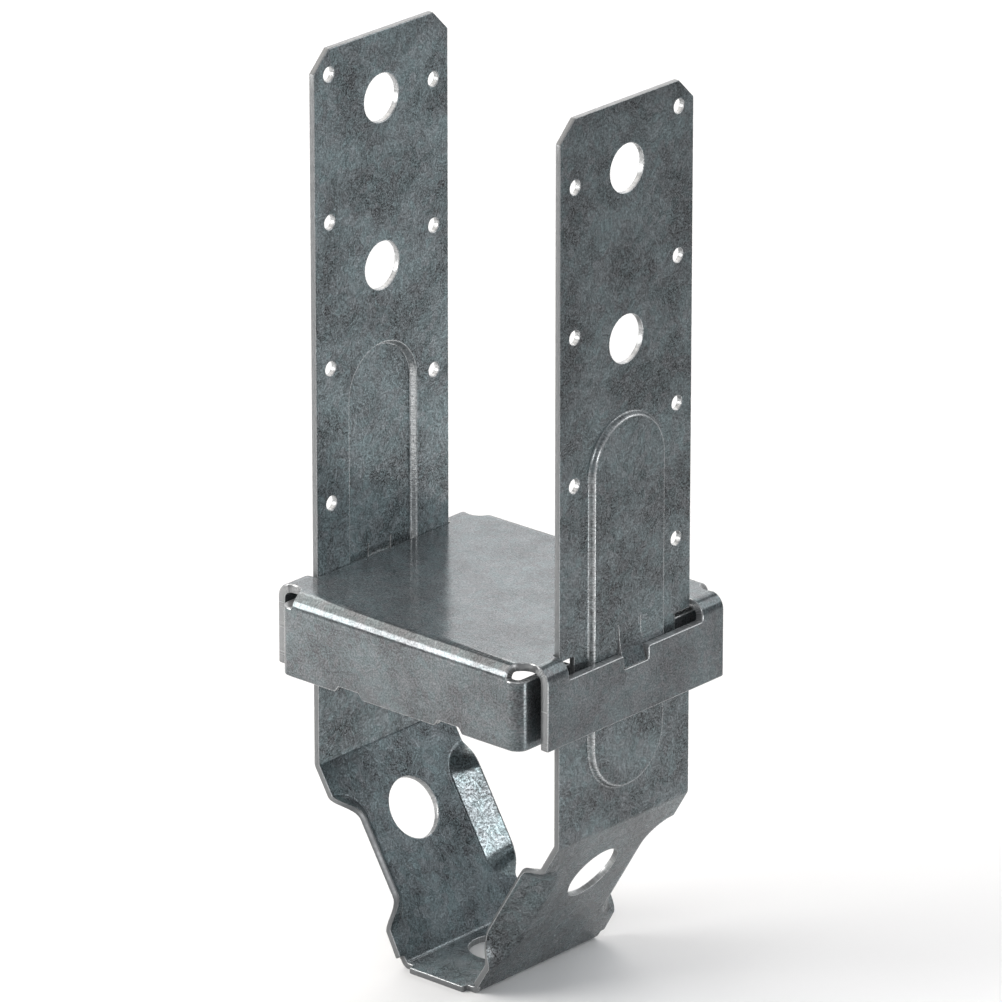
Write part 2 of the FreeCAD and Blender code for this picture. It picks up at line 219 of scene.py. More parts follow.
def arc_rows(start, radius, angle):
    """Distances along the blank at which a fold's arc is stepped, with one row each side."""
    steps = max(2, math.ceil(angle / arc_step))
    length = radius * angle
    rows = [start + length * step / steps for step in range(steps + 1)]
    return [rows[0] - arc_margin] + rows + [rows[-1] + arc_margin]


base_edge = base_quarter()
base_outline = list(base_edge)
base_outline += [(-u, v) for u, v in reversed(base_edge)]
base_outline += [(-u, -v) for u, v in base_edge]
base_outline += [(u, -v) for u, v in reversed(base_edge)]
end_rows = arc_rows(end_line, plate_radius, quarter_turn)
front_rows = arc_rows(front_line, plate_radius, quarter_turn)
ear_rows = arc_rows(wrap_line, wrap_radius, quarter_turn)
across_rows = [side * row for row in end_rows + ear_rows for side in (-1, 1)]
along_rows = [side * row for row in front_rows for side in (-1, 1)]


def base_stepped(points):
    """An outline of the base with points wherever a fold will bend it."""
    points = with_stations(points, across_rows, axis=0)
    points = with_stations(points, along_rows, axis=1)
    return with_spacing(points, longest_edge)


def leg_slot(side):
    """The slot for one leg, with the notch for the locking tab."""
    floor_line = on_end_flange(slot_floor)
    lock_line = on_end_flange(lock_floor)
    half = [(slot_start, slot_half), (floor_line, slot_half), (floor_line, lock_half),
            (lock_line, lock_half)]
    corners = half + [(u, -v) for u, v in reversed(half)]
    return base_stepped(eased([(side * u, side * v) for u, v in corners], base_corner_radius))


def spread(low, high, step):
    """Evenly spaced numbers over a range, ends included."""
    count = max(1, math.ceil((high - low) / step))
    return [low + (high - low) * index / count for index in range(count + 1)]


def moved_in(points, distance):
    """The outline moved into the metal, which lies on its left."""
    made = []
    count = len(points)
    for index in range(count):
        here = points[index]
        back = (here - points[index - 1]).normalized()
        on = (points[(index + 1) % count] - here).normalized()
        left_back = Vector((-back.y, back.x))
        left_on = Vector((-on.y, on.x))
        made.append(here + (left_back + left_on) * (distance / (1.0 + left_back.dot(left_on))))
    return made


def as_array(points):
    """An outline's points as an array."""
    return np.array([tuple(point) for point in points])


def inside(points, loop):
    """Which points lie inside a closed outline, by counting the edges to their right."""
    x, y = points[:, 0][:, None], points[:, 1][:, None]
    ends = as_array(loop)
    x0, y0 = ends[:, 0], ends[:, 1]
    x1, y1 = np.roll(x0, -1), np.roll(y0, -1)
    rise = np.where(y1 == y0, 1.0, y1 - y0)
    crosses = ((y0 > y) != (y1 > y)) & (x < (x1 - x0) * (y - y0) / rise + x0)
    return crosses.sum(axis=1) % 2 == 1


def clear_of(points, loop, gap):
    """Which points keep at least the given gap from an outline."""
    ends = as_array(loop)
    run = np.roll(ends, -1, axis=0) - ends
    away = points[:, None, :] - ends[None, :, :]
    no_length = 1e-18
    share = (away * run).sum(axis=2) / np.maximum((run * run).sum(axis=1), no_length)
    nearest = np.clip(share, 0.0, 1.0)[:, :, None] * run[None, :, :]
    return np.sqrt(((away - nearest) ** 2).sum(axis=2)).min(axis=1) > gap


def in_the_sheet(points, rims):
    """Which points lie in the metal, clear of the outer rim and of every hole's rim."""
    keep = inside(points, rims[0]) & clear_of(points, rims[0], rim_clearance)
    for rim in rims[1:]:
        ends = as_array(rim)
        low = ends.min(axis=0) - mm
        high = ends.max(axis=0) + mm
        near = np.flatnonzero(((points > low) & (points < high)).all(axis=1) & keep)
        if len(near):
            spots = points[near]
            keep[near] = ~inside(spots, rim) & clear_of(spots, rim, rim_clearance)
    return keep


def face_triangles(rims, spots):
    """The triangles of one flat face, numbered over the rims' points and then the spots."""
    flat = [point for rim in rims for point in rim]
    edges = []
    first = 0
    for rim in rims:
        count = len(rim)
        edges.extend((first + step, first + (step + 1) % count) for step in range(count))
        first += count
    flat.extend(Vector(spot) for spot in spots)
    whole_hull, same_point = 0, 1e-8
    result = geometry.delaunay_2d_cdt(flat, edges, [], whole_hull, same_point)
    corners, faces, origins = result[0], result[2], result[3]
    triangles = np.array([face for face in faces if len(face) == 3])
    centres = as_array(corners)[triangles].mean(axis=1)
    metal = inside(centres, rims[0])
    for rim in rims[1:]:
        metal &= ~inside(centres, rim)
    source = [origin[0] for origin in origins]
    return [tuple(source[corner] for corner in triangle) for triangle in triangles[metal]]


def edge_profile(sheet, roll, burr):
    """The cut edge in section, as inset, height, and how upper, cut and pale it is there. The pale
    mark peaks half way round each rounded edge: partly burnished zinc, partly a painted highlight.
    """
    half = sheet / 2.0
    turns = [quarter_turn * step / rim_steps for step in range(rim_steps + 1)]
    profile = [(rim_width, half, 1.0, 0.0, 0.0)]
    for turn in reversed(turns):
        profile.append((roll * (1.0 - math.cos(turn)), half - roll * (1.0 - math.sin(turn)),
                        1.0, math.cos(turn) ** 2, math.sin(2.0 * turn) ** 2))
    for turn in turns:
        profile.append((burr * (1.0 - math.cos(turn)), burr * (1.0 - math.sin(turn)) - half,
                        0.0, math.cos(turn) ** 2, math.sin(2.0 * turn) ** 2))
    profile.append((rim_width, -half, 0.0, 0.0, 0.0))
    return profile


def marked(mesh, label, values):
    """Keeps one number for each point of a blank, for the folds or the finish to read."""
    layer = mesh.attributes.new(label, "FLOAT", "POINT")
    layer.data.foreach_set("value", np.asarray(values, dtype=np.float32))


def blank_mesh(name, places, faces, level):
    """The blank as a mesh, with its flat layout as a UV map and its marks for the finish."""
    mesh = bpy.data.meshes.new(name)
    mesh.from_pydata([(place[0], place[1], level + place[2]) for place in places], [], faces)
    # The last mark is the pale one: partly burnished zinc, partly painted highlight
    for label, column in (("inner_face", 3), ("cut_edge", 4), ("rubbed_and_highlight", 5)):
        marked(mesh, label, [place[column] for place in places])
    layer = mesh.uv_layers.new(name="blank")
    corners = np.empty(len(mesh.loops), dtype=np.int32)
    mesh.loops.foreach_get("vertex_index", corners)
    flat_places = np.array([place[:2] for place in places], dtype=np.float32)
    layer.data.foreach_set("uv", flat_places[corners].ravel())
    shell = bmesh.new()
    shell.from_mesh(mesh)
    bmesh.ops.recalc_face_normals(shell, faces=shell.faces)
    shell.to_mesh(mesh)
    shell.free()
    return mesh


def punched_blank(name, loops, lattice, sheet, level, roll, burr, rim_rub_and_highlight):
    """A flat sheet cut to the given outlines, the first outside and the rest holes.

    The upper edge is rolled over by the punch and the lower one left nearly sharp. The walls of
    the holes and the rims outside are marked pale: partly zinc burnished by the punch on the hole
    walls and by handling on the rims outside, partly a painted highlight along the edges. The
    lattice holds the points at which the sheet will bend.
    """
    hole_rub_and_highlight = 0.38
    decimals = 7
    profile = edge_profile(sheet, roll, burr)
    places = []
    faces = []
    rims = []
    top = []
    low = []
    for loop in loops:
        count = len(loop)
        first = len(places)
        last = first + (len(profile) - 1) * count
        for inset, height, upper, cut, rubbed_and_highlight in profile:
            # Outer rims and hole walls take the pale mark: partly burnished zinc, partly painted
            # highlight
            rubbed_and_highlight = rim_rub_and_highlight * rubbed_and_highlight if loop is loops[0] else max(rubbed_and_highlight, hole_rub_and_highlight * cut)
            for point in moved_in(loop, inset):
                places.append((point.x, point.y, height, upper, cut, rubbed_and_highlight))
        for ring in range(first, last, count):
            for step in range(count):
                a = ring + step
                b = ring + (step + 1) % count
                faces.append((a, b, b + count, a + count))
        top.extend(range(first, first + count))
        low.extend(range(last, last + count))
        rims.append(moved_in(loop, rim_width))

    spots = np.unique(np.round(np.array(lattice), decimals), axis=0)
    spots = spots[in_the_sheet(spots, rims)]
    for u, v in spots:
        top.append(len(places))
        places.append((u, v, sheet / 2.0, 1.0, 0.0, 0.0))
        low.append(len(places))
        places.append((u, v, -sheet / 2.0, 0.0, 0.0, 0.0))
    for a, b, c in face_triangles(rims, spots):
        faces.append((top[a], top[b], top[c]))
        faces.append((low[c], low[b], low[a]))
    return blank_mesh(name, places, faces, level)


def places_of(mesh):
    """The points of a mesh as an array."""
    spots = np.empty(len(mesh.vertices) * 3, dtype=np.float32)
    mesh.vertices.foreach_get("co", spots)
    return spots.reshape(-1, 3).astype(float)


base_lattice = []
for side in (-1, 1):
    for row in end_rows:
        base_lattice.extend((side * row, v)
                            for v in spread(-end_flange_half, end_flange_half, row_step))
    for row in front_rows:
        base_lattice.extend((u, side * row) for u in spread(-wrap_line, wrap_line, front_row_step))
    for row in ear_rows:
        for v in spread(front_rows[-1], front_edge, row_step):
            base_lattice.extend([(row, side * v), (-row, side * v)])

base_loops = [base_stepped(eased(base_outline, base_corner_radius)), leg_slot(1), leg_slot(-1)]
base_blank = punched_blank("standoff_blank", base_loops, base_lattice, plate_sheet,
                           seat_height - half_sheet, base_roll, base_burr, rim_rub_and_highlight=1.0)
base_spots = places_of(base_blank)
relief_margin = 0.7 * mm
on_flange = np.abs(base_spots[:, 1]) > corner_relief()[-1][1] - relief_margin
marked(base_blank, "front_flange", on_flange & (base_spots[:, 1] < 0.0))
marked(base_blank, "back_flange", on_flange & (base_spots[:, 1] > 0.0))
marked(base_blank, "end_flange", ~on_flange)


class Wiring:
    """A node tree under construction, with short calls for the nodes it is made of."""

    def __init__(self, tree):
        self.tree = tree

    def feed(self, socket, value):
        """Links a node's output to the socket, or sets the socket to a plain value."""
        if isinstance(value, bpy.types.NodeSocket):
            self.tree.links.new(value, socket)
        else:
            socket.default_value = value

    def node(self, kind, settings=None, **inputs):
        """One node with its settings, and with values or links for the inputs named."""
        made = self.tree.nodes.new(kind)
        for setting, value in (settings or {}).items():
            setattr(made, setting, value)
        for label, value in inputs.items():
            self.feed(made.inputs[label.replace("_", " ")], value)
        return made

    def maths(self, operation, *values):
        """A calculation with numbers."""
        made = self.node("ShaderNodeMath", {"operation": operation})
        for socket, value in zip(made.inputs, values):
            self.feed(socket, value)
        return made.outputs[0]

    def vector_maths(self, operation, *values, output="Vector"):
        """A calculation with vectors."""
        made = self.node("ShaderNodeVectorMath", {"operation": operation})
        for socket, value in zip(made.inputs, values):
            self.feed(socket, value)
        return made.outputs[output]

    def scaled(self, vector, factor):
        """A vector made longer or shorter."""
        made = self.node("ShaderNodeVectorMath", {"operation": "SCALE"}, Vector=vector,
                         Scale=factor)
        return made.outputs["Vector"]


def press_brake_tree():
    """Folds whatever lies past a line, on both sides of the middle, round a set radius.

    Across points from the middle over the fold line, and Up to the side that the sheet turns to.
    Level is the height of the sheet's middle, and Where the share of the fold that a point takes.
    """
    tree = bpy.data.node_groups.new("press_brake", "GeometryNodeTree")
    kinds = {"Blank": "Geometry", "Where": "Float", "Across": "Vector", "Up": "Vector",
             "Fold line": "Float", "Level": "Float", "Middle radius": "Float",
             "Fold angle": "Float", "Finish": "Material"}
    for label, kind in kinds.items():
        tree.interface.new_socket(label, in_out="INPUT", socket_type="NodeSocket" + kind)
    tree.interface.new_socket("Folded", in_out="OUTPUT", socket_type="NodeSocketGeometry")
    press = Wiring(tree)
    maths = press.maths
    given = press.node("NodeGroupInput").outputs
    place = press.node("GeometryNodeInputPosition").outputs[0]

    # How far past the line each point lies, and how much of that is in the bend
    radius = given["Middle radius"]
    aside = press.vector_maths("DOT_PRODUCT", place, given["Across"], output="Value")
    above = press.vector_maths("DOT_PRODUCT", place, given["Up"], output="Value")
    height = maths("SUBTRACT", above, given["Level"])
    past = maths("SUBTRACT", maths("ABSOLUTE", aside), given["Fold line"])
    arc = maths("MULTIPLY", radius, given["Fold angle"])
    in_arc = maths("MINIMUM", maths("MAXIMUM", past, 0.0), arc)
    beyond = maths("SUBTRACT", past, in_arc)

    # Where the bend takes it
    turn = maths("DIVIDE", in_arc, radius)
    lever = maths("SUBTRACT", radius, height)
    sine = maths("SINE", turn)
    cosine = maths("COSINE", turn)
    new_past = maths("ADD", maths("MULTIPLY", lever, sine), maths("MULTIPLY", beyond, cosine))
    dropped = maths("SUBTRACT", radius, maths("MULTIPLY", lever, cosine))
    new_height = maths("ADD", dropped, maths("MULTIPLY", beyond, sine))
    outwards = maths("MULTIPLY", maths("SUBTRACT", new_past, past), maths("SIGN", aside))
    sideways = press.scaled(given["Across"], outwards)
    upwards = press.scaled(given["Up"], maths("SUBTRACT", new_height, height))
    offset = press.scaled(press.vector_maths("ADD", sideways, upwards), given["Where"])

    moved = press.node("GeometryNodeSetPosition", Geometry=given["Blank"], Offset=offset)
    real = press.node("GeometryNodeRealizeInstances", Geometry=moved.outputs[0])
    coated = press.node("GeometryNodeSetMaterial", Geometry=real.outputs[0],
                        Material=given["Finish"])
    press.node("NodeGroupOutput", Folded=coated.outputs[0])
    return tree


press_brake = press_brake_tree()


def fold_inputs(where, across, up, line, level, radius, angle):
    """One fold for the press brake. A name stands for a number marked on every point."""
    return {"Where": where, "Across": across, "Up": up, "Fold line": line, "Level": level,
            "Middle radius": radius, "Fold angle": angle}


def folded(name, mesh, folds, finish):
    """The piece that a blank becomes, fold after fold, as one plain smooth mesh."""
    blank = bpy.data.objects.new(name + "_blank", mesh)
    bpy.context.scene.collection.objects.link(blank)
    labels = {item.name: item.identifier for item in press_brake.interface.items_tree
              if item.item_type == "SOCKET" and item.in_out == "INPUT"}
    for fold in folds:
        press = blank.modifiers.new("fold", "NODES")
        press.node_group = press_brake
        press[labels["Finish"]] = finish
        for label, value in fold.items():
            if isinstance(value, str):
                press[labels[label] + "_use_attribute"] = True
                press[labels[label] + "_attribute_name"] = value
            else:
                press[labels[label]] = value
    ready = blank.evaluated_get(bpy.context.evaluated_depsgraph_get())
    plain = bpy.data.meshes.new_from_object(ready)
    bpy.data.objects.remove(blank)
    plain.shade_smooth()
    piece = bpy.data.objects.new(name, plain)
    bpy.context.scene.collection.objects.link(piece)
    return piece


class Finish(Wiring):
    """A material under construction, wired to the sockets of its shader."""

    def __init__(self, name):
        self.material = bpy.data.materials.new(name)
        self.material.use_nodes = True
        super().__init__(self.material.node_tree)
        self.shader = self.tree.nodes["Principled BSDF"]

    def mark(self, label):
        """A number kept at each point of the mesh."""
        return self.node("ShaderNodeAttribute", {"attribute_name": label}).outputs["Fac"]

    def noise(self, place, scale, detail, roughness):
        """A soft pattern over the flat blank, as a value (Fac) and as colours (Color)."""
        return self.node("ShaderNodeTexNoise", {"noise_dimensions": "2D"}, Vector=place,
                         Scale=scale, Detail=detail, Roughness=roughness).outputs

    def ramp(self, value, between, gives):
        """The value brought from one range to another, level at both ends."""
        made = self.node("ShaderNodeMapRange", {"interpolation_type": "SMOOTHSTEP"})
        for socket, number in zip(made.inputs, (value, *between, *gives)):
            self.feed(socket, number)
        return made.outputs[0]

    def mix(self, share, first, second):
        """A colour between two others."""
        made = self.node("ShaderNodeMix", {"data_type": "RGBA"})
        factor, colour_a, colour_b = made.inputs[0], made.inputs[6], made.inputs[7]
        self.feed(factor, share)
        self.feed(colour_a, first)
        self.feed(colour_b, second)
        return made.outputs[2]


def crystals(coat, blank, width):
    """The zinc's crystals: a shade and a tint for each one, and the fine ribs it grew in."""
    # Their outlines wander, so the cell pattern is read at a shifted place
    waver = coat.noise(blank, scale=0.9 / width, detail=3.0, roughness=0.6)["Color"]
    wandering = coat.vector_maths("MULTIPLY_ADD", waver, (width, width, 0.0), blank)
    cells = coat.node("ShaderNodeTexVoronoi", {"voronoi_dimensions": "2D"},
                      Vector=wandering, Scale=1.0 / width)
    parts = coat.node("ShaderNodeSeparateColor", Color=cells.outputs["Color"]).outputs
    shade, heading, tint = parts[0], parts[1], parts[2]

    # Each one grew along its own heading
    rib_length = 0.28
    turned = coat.node("ShaderNodeVectorRotate", {"rotation_type": "Z_AXIS"}, Vector=blank,
                       Angle=coat.maths("MULTIPLY", heading, math.pi)).outputs[0]
    drawn_out = coat.vector_maths("MULTIPLY", turned, (1.0, rib_length, 1.0))
    ribs = coat.noise(drawn_out, scale=3.2 / width, detail=3.0, roughness=0.62)["Fac"]
    return shade, tint, ribs


def zinc_coat(name, inner_tone, outer_tone, edge_tone, rubbed_and_highlight_tone, roughness, crystal, contrast,
              relief):
    """Hot-dip zinc, with one tone for each face and crystals of the given width.

    The coat froze in feathery crystals. Their pattern follows the flat blank, so it runs on
    unbroken round every fold, and the sheared edges have a tone of their own.
    """
    tones = (inner_tone, outer_tone, edge_tone, rubbed_and_highlight_tone)
    inner, outer, edge, rubbed_and_highlight_colour = [tone + (1.0,) for tone in tones]
    warm = (1.10, 0.98, 0.99, 1.0)
    cool = (0.89, 1.02, 1.02, 1.0)
    coat = Finish(name)
    blank = coat.node("ShaderNodeUVMap", {"uv_map": "blank"}).outputs[0]
    cut = coat.mark("cut_edge")
    shade, tint, ribs = crystals(coat, blank, crystal)
    grain = coat.noise(blank, scale=1900.0, detail=2.0, roughness=0.7)["Fac"]
    cloud = coat.noise(blank, scale=55.0, detail=3.0, roughness=0.55)["Fac"]

    # Colour: the face's tone, lighter or darker by crystal, rib and cloud, with a faint tint
    level = coat.maths("ADD", coat.ramp(shade, between=(0.0, 1.0), gives=(-0.08, 0.08)),
                       coat.ramp(ribs, between=(0.36, 0.74), gives=(-0.16, 0.36)))
    level = coat.maths("ADD", level, coat.ramp(cloud, between=(0.32, 0.68), gives=(-0.17, 0.17)))
    level = coat.maths("ADD", level, coat.ramp(grain, between=(0.32, 0.74), gives=(-0.30, 0.46)))
    tone = coat.mix(coat.mark("inner_face"), outer, inner)
    tone = coat.scaled(tone, coat.maths("MULTIPLY_ADD", level, contrast, 1.0))
    half = 0.5
    coolness = coat.maths("MULTIPLY_ADD", tint, half, coat.maths("MULTIPLY", cloud, half))
    tone = coat.vector_maths("MULTIPLY", tone, coat.mix(coolness, warm, cool))
    # Marked places go towards a pale tone: partly burnished zinc, partly a painted highlight on
    # edges, creases and the recess wall
    bright = coat.maths("MULTIPLY", coat.mark("rubbed_and_highlight"),
                        coat.ramp(grain, between=(0.30, 0.70), gives=(0.45, 1.0)))
    coat.feed(coat.shader.inputs["Base Color"],
              coat.mix(bright, coat.mix(cut, tone, edge), rubbed_and_highlight_colour))

    # Gloss and relief: crystals differ in polish, and the ribs stand a few microns proud
    cut_dullness = 0.08
    polish = coat.maths("ADD", coat.ramp(shade, between=(0.0, 1.0), gives=(-0.02, 0.02)),
                        coat.ramp(ribs, between=(0.3, 0.7), gives=(0.04, -0.04)))
    gloss = coat.maths("ADD", polish, roughness)
    coat.feed(coat.shader.inputs["Roughness"],
              coat.maths("MULTIPLY_ADD", cut, cut_dullness, gloss))
    coat.shader.inputs["Metallic"].default_value = 0.5
    rib_height, grain_height = 0.6, 0.4
    height = coat.maths("ADD", coat.maths("MULTIPLY", ribs, rib_height),
                        coat.maths("MULTIPLY", grain, grain_height))
    bump = coat.node("ShaderNodeBump", Height=height, Strength=1.0, Distance=relief)
    coat.feed(coat.shader.inputs["Normal"], bump.outputs[0])
    return coat.material


base_finish = zinc_coat("base_zinc_coat", inner_tone=(0.128, 0.142, 0.148),
                        outer_tone=(0.128, 0.142, 0.148), edge_tone=(0.24, 0.246, 0.25),
                        rubbed_and_highlight_tone=(0.74, 0.755, 0.76), roughness=0.17, crystal=2.2 * mm,
                        contrast=0.95, relief=0.010 * mm)
to_right = (1.0, 0.0, 0.0)
to_back = (0.0, 1.0, 0.0)
to_front = (0.0, -1.0, 0.0)
downwards = (0.0, 0.0, -1.0)
plate_level = half_sheet - seat_height
flange_level = half_sheet - base_length / 2.0
base_folds = [
    fold_inputs("end_flange", to_right, downwards, end_line, plate_level, plate_radius,
                quarter_turn),
    fold_inputs(1.0, to_back, downwards, front_line, plate_level, plate_radius, quarter_turn),
    fold_inputs("front_flange", to_right, to_back, wrap_line, flange_level, wrap_radius,
                quarter_turn),
    fold_inputs("back_flange", to_right, to_front, wrap_line, flange_level, wrap_radius,
                quarter_turn),
]
base = folded("folded_standoff_base", base_blank, base_folds, base_finish)
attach(base, "root")
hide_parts("standoff_base")

# Strap. One strip of 1.9 mm galvanised sheet, 57 mm wide, punched and embossed flat and then bent
# up in four places. The raised panels fill the gap to the end flanges, a tab lanced from each
# locks into the flange, and the slopes' side edges are pressed inwards to stiffen them.

# Strip, its bends and its ends
strap_sheet = 1.9 * mm
strap_bend_inside = 1.2 * mm
post_half = 45.25 * mm
strap_half = 28.5 * mm
leg_top = 273.75 * mm
bend_height = 56.0 * mm
bottom_half = 13.0 * mm
leg_corner_cut = 6.35 * mm

# Corners and edges as the punch leaves them
strap_corner_radius = 0.5 * mm
strap_roll = 0.30 * mm
strap_burr = 0.16 * mm

# Holes for nails and bolts, and large ones in the slopes and bottom for the concrete
nail_radius = 2.2 * mm
nail_points = 32
bolt_radius = 7.25 * mm
bolt_points = 64
anchor_radius = 9.35 * mm
anchor_points = 72
nail_gauge_half = 22.2 * mm
nail_four = [266.1 * mm, 221.65 * mm, 177.2 * mm, 135.9 * mm]
nail_three = [253.5 * mm, 209.05 * mm, 164.6 * mm]
bolts = [253.5 * mm, 202.7 * mm]
anchor_along = 22.3 * mm

# Side edges of the slopes, folded inwards and pulled narrower at their foot
fold_start = 9.8 * mm
fold_foot = 10.2 * mm
fold_inset = 9.5 * mm
fold_angle = math.radians(45.0)
pull_at_fold = 0.8 * mm
pull_at_bottom = 0.2 * mm

# Relief beside the bends at the foot
relief_depth = 2.0 * mm
relief_on_bottom = 2.6 * mm
relief_on_slope = 2.2 * mm

# Notch in each side edge for a return tab of the base
notch_wall = 22.0 * mm
notch_low = 88.5 * mm
notch_high = 112.9 * mm

# Raised panel on each leg, whose hollow on the inner face is smaller all round
panel_top = 180.8 * mm
panel_bottom = 66.3 * mm
panel_half = 16.2 * mm
panel_height = 1.7 * mm
panel_wall = 1.35 * mm
panel_crease = 0.62 * mm
hollow_inset = 1.52 * mm

# Tab lanced from the panel, leaning outwards to its tip
tab_half = 4.65 * mm
tab_root = 117.6 * mm
tab_tip = 105.0 * mm
tab_lean = 2.4 * mm
tab_slit = 0.25 * mm

# How finely the strip is stepped
pull_steps = 6
run_out_steps = 14
slope_row_step = 1.6 * mm
side_edge_from = 15.0 * mm
side_edge_step = 0.32 * mm
bend_row_step = 1.5 * mm
slit_step = 1.0 * mm
ring_step = 1.1 * mm
wall_step = 0.12 * mm
ring_margins = (0.1 * mm, 0.35 * mm)

# Bend lines, measured from the middle of the flat strip
strap_half_sheet = strap_sheet / 2.0
strap_radius = strap_bend_inside + strap_half_sheet
slope_rise = bend_height - strap_sheet
slope_run = post_half - bottom_half
slope_length = math.hypot(slope_rise, slope_run)
slope_lean = math.atan2(slope_run, slope_rise)
foot_turn = quarter_turn - slope_lean
foot_setback = strap_bend_inside * math.tan(foot_turn / 2.0)
leg_setback = strap_bend_inside * math.tan(slope_lean / 2.0)
foot_line = bottom_half - foot_setback
leg_line = foot_line + strap_radius * foot_turn + slope_length - foot_setback - leg_setback
leg_start = leg_line + strap_radius * slope_lean
leg_start_height = bend_height + leg_setback
fold_stop = slope_length - fold_foot


def on_leg(height):
    """Distance from the middle of the blank to a height on a leg."""
    return leg_start + height - leg_start_height


def on_slope(position):
    """Distance from the middle of the blank to a place measured down the slope."""
    return leg_line + leg_setback - position


def folding(position):
    """How far a slope's side edge is folded there: the turn from 0 to a quarter circle."""
    if position <= fold_start or position >= fold_stop:
        return 0.0
    near = min(position - fold_start, fold_stop - position)
    if near >= fold_inset:
        return quarter_turn
    return math.acos(1.0 - near / fold_inset)


def half_width(position):
    """Half the strip's width at a place measured down the slope."""
    if position <= fold_stop - fold_inset:
        return strap_half
    if position < fold_stop:
        share = 1.0 - (fold_stop - position) / fold_inset
        return strap_half - pull_at_fold * share
    share = (position - fold_stop) / (slope_length - fold_stop)
    return strap_half - pull_at_fold + (pull_at_fold - pull_at_bottom) * share


def strap_quarter():
    """The strip's edge from the middle of the bottom up one leg, on the far side."""
    recess_end = slope_length - relief_on_slope
    recess_low = bottom_half - relief_on_bottom
    recess_high = on_slope(recess_end)
    inner = strap_half - relief_depth
    points = [
        (recess_low, strap_half),
        (recess_low, inner),
        (recess_high, inner),
        (recess_high, half_width(min(slope_length - foot_setback, recess_end))),
    ]
    for step in range(pull_steps + 1):
        position = fold_stop - fold_inset * step / pull_steps
        points.append((on_slope(position), half_width(position)))
    points += [
        (on_leg(notch_low), strap_half),
        (on_leg(notch_low), notch_wall),
        (on_leg(notch_high), notch_wall),
        (on_leg(notch_high), strap_half),
        (on_leg(leg_top) - leg_corner_cut, strap_half),
        (on_leg(leg_top), strap_half - leg_corner_cut),
    ]
    return points


strap_edge = strap_quarter()
strap_outline = [(u, -v) for u, v in strap_edge] + [(u, v) for u, v in reversed(strap_edge)]
strap_outline += [(-u, v) for u, v in strap_edge] + [(-u, -v) for u, v in reversed(strap_edge)]
foot_rows = arc_rows(foot_line, strap_radius, foot_turn)
leg_rows = arc_rows(leg_line, strap_radius, slope_lean)
run_out = [fold_inset * (1.0 - math.cos(quarter_turn * step / run_out_steps))
           for step in range(run_out_steps + 1)]
fold_rows = [on_slope(fold_start + run) for run in run_out]
fold_rows += [on_slope(fold_stop - run) for run in run_out]
fold_rows += [on_slope(place) for place in spread(fold_start + fold_inset, fold_stop - fold_inset,
                                                  slope_row_step)[1:-1]]
strap_rows = [side * row for row in foot_rows + leg_rows + fold_rows for side in (-1, 1)]


def strap_stepped(points):
    """An outline of the strap with points wherever a fold will bend it."""
    return with_spacing(with_stations(points, strap_rows, axis=0), longest_edge)


def punched_circle(u, v, radius, count):
    """A round hole's outline, with the metal on its left."""
    turns = [-2.0 * math.pi * step / count for step in range(count)]
    return [Vector((u + radius * math.cos(t), v + radius * math.sin(t))) for t in turns]


def tab_slot(side):
    """The narrow U cut that frees one locking tab from its panel."""
    root, tip = on_leg(tab_root), on_leg(tab_tip)
    wide = tab_half + tab_slit
    corners = [
        (root, wide), (root, tab_half), (tip, tab_half), (tip, -tab_half),
        (root, -tab_half), (root, -wide), (tip - tab_slit, -wide), (tip - tab_slit, wide),
    ]
    corners = [(side * u, side * v) for u, v in corners]
    return with_spacing(eased(corners, strap_corner_radius), slit_step)


nails = [(height, 1) for height in nail_four] + [(height, -1) for height in nail_three]
strap_loops = [strap_stepped(eased(strap_outline, strap_corner_radius))]
for side in (-1, 1):
    for height in bolts:
        strap_loops.append(punched_circle(side * on_leg(height), 0.0, bolt_radius, bolt_points))
    for height, edge in nails:
        strap_loops.append(punched_circle(side * on_leg(height), side * edge * nail_gauge_half,
                                          nail_radius, nail_points))
    strap_loops.append(punched_circle(side * on_slope(anchor_along), 0.0, anchor_radius,
                                      anchor_points))
    strap_loops.append(tab_slot(side))
strap_loops.append(punched_circle(0.0, 0.0, anchor_radius, anchor_points))

panel_top_centre = on_leg(panel_top) - panel_half
panel_low_centre = on_leg(panel_bottom) + panel_half


def stadium(inset):
    """Points round a raised panel's outline, moved in by the given distance."""
    radius = panel_half - inset
    straight = spread(panel_low_centre, panel_top_centre, ring_step)
    points = [(u, radius) for u in straight] + [(u, -radius) for u in straight]
    for turn in spread(-quarter_turn, quarter_turn, ring_step / panel_half):
        points.append((panel_top_centre + radius * math.cos(turn), radius * math.sin(turn)))
        points.append((panel_low_centre - radius * math.cos(turn), radius * math.sin(turn)))
    return points


def panel_inset(u, v):
    """How far inside the raised panel's outline a point lies; outside it is negative."""
    past = u - np.clip(u, panel_low_centre, panel_top_centre)
    return panel_half - np.hypot(past, v)


def pressed_out(inset):
    """The panel's height there: a straight wall between two small creases."""
    slope = panel_height / (panel_wall - panel_crease)
    low = np.clip(inset, 0.0, panel_crease)
    high = np.clip(panel_wall - inset, 0.0, panel_crease)
    middle = np.clip(inset, panel_crease, panel_wall - panel_crease) - panel_crease
    rounded_low = slope * low ** 2 / (2.0 * panel_crease)
    rounded_high = slope * (panel_crease / 2.0 - high ** 2 / (2.0 * panel_crease))
    return rounded_low + slope * middle + rounded_high


